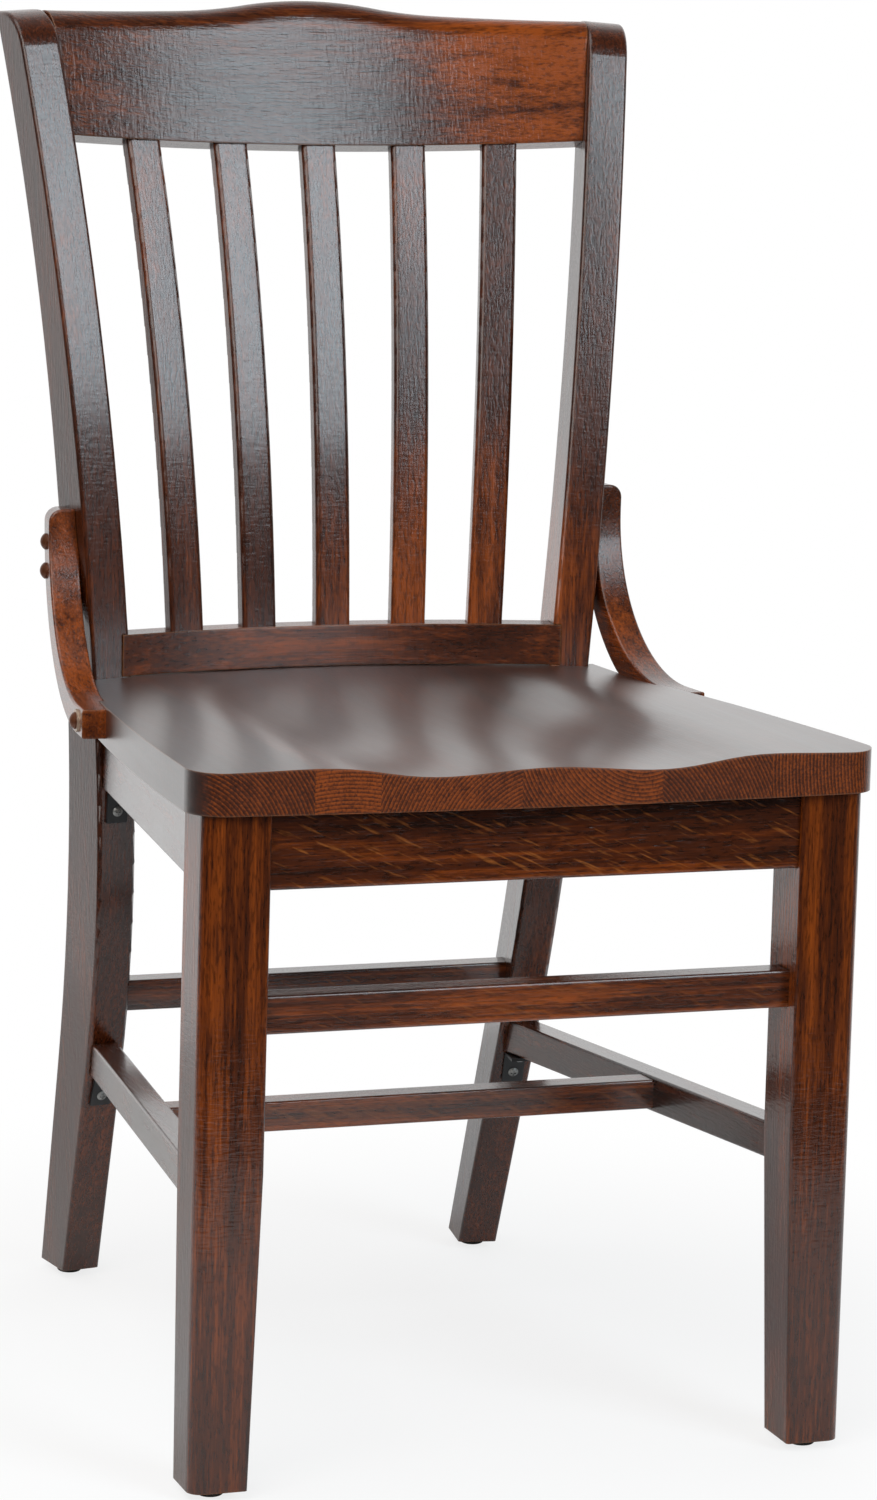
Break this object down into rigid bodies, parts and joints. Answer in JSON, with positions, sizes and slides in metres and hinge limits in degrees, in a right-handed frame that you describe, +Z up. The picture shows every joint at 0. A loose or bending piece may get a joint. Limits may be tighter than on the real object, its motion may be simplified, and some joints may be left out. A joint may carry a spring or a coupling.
{
  "type": "wooden dining chair",
  "caption": "Wooden schoolhouse dining chair with sabre rear legs, slatted bowed back, saddle seat, curved hip braces, stretchers, black corner brackets and glides.",
  "frame": {"origin": "on the floor, midway across the chair and midway between its front and back", "axes": "+Z up, +Y towards the back of the chair, +X to the right of a viewer in front of it"},
  "size_m": [0.449, 0.54, 0.8989],
  "materials": {
    "seat_wood": "walnut stain under satin lacquer, glued staves, worn paler at the edges",
    "post_wood": "walnut stain under satin lacquer",
    "slat_wood": "walnut stain under satin lacquer",
    "rail_wood": "walnut stain under satin lacquer, flecked",
    "side_wood": "walnut stain under satin lacquer",
    "brace_wood": "walnut stain under satin lacquer",
    "block_wood": "bare, sawn",
    "bracket_steel": "black, satin",
    "screw_steel": "zinc plated",
    "bolt_steel": "bronze brown, satin",
    "washer_steel": "bronze brown, satin",
    "glide_plastic": "matte"
  },
  "bodies": {
    "root": {"seat": "seat_wood", "rear_leg_left": "post_wood", "rear_leg_right": "post_wood", "front_leg_left": "post_wood", "front_leg_right": "post_wood", "back_slat_1": "slat_wood", "back_slat_2": "slat_wood", "back_slat_3": "slat_wood", "back_slat_4": "slat_wood", "back_slat_5": "slat_wood", "crest_rail": "rail_wood", "lower_back_rail": "rail_wood", "front_apron": "rail_wood", "rear_apron": "rail_wood", "front_stretcher": "rail_wood", "rear_stretcher": "rail_wood", "cross_stretcher": "rail_wood", "side_apron_left": "side_wood", "side_apron_right": "side_wood", "side_stretcher_left": "side_wood", "side_stretcher_right": "side_wood", "brace_left": "brace_wood", "brace_right": "brace_wood", "front_corner_block_left": "block_wood", "front_corner_block_right": "block_wood", "rear_corner_block_left": "block_wood", "rear_corner_block_right": "block_wood", "crest_dowels": "block_wood", "upper_bracket_left": "bracket_steel", "upper_bracket_right": "bracket_steel", "lower_bracket_left": "bracket_steel", "lower_bracket_right": "bracket_steel", "bracket_screws": "screw_steel", "seat_screws": "screw_steel", "brace_post_bolts": "bolt_steel", "brace_seat_bolts": "bolt_steel", "brace_washers": "washer_steel", "front_glide_left": "glide_plastic", "front_glide_right": "glide_plastic", "rear_glide_left": "glide_plastic", "rear_glide_right": "glide_plastic"}
  },
  "joints": []
}
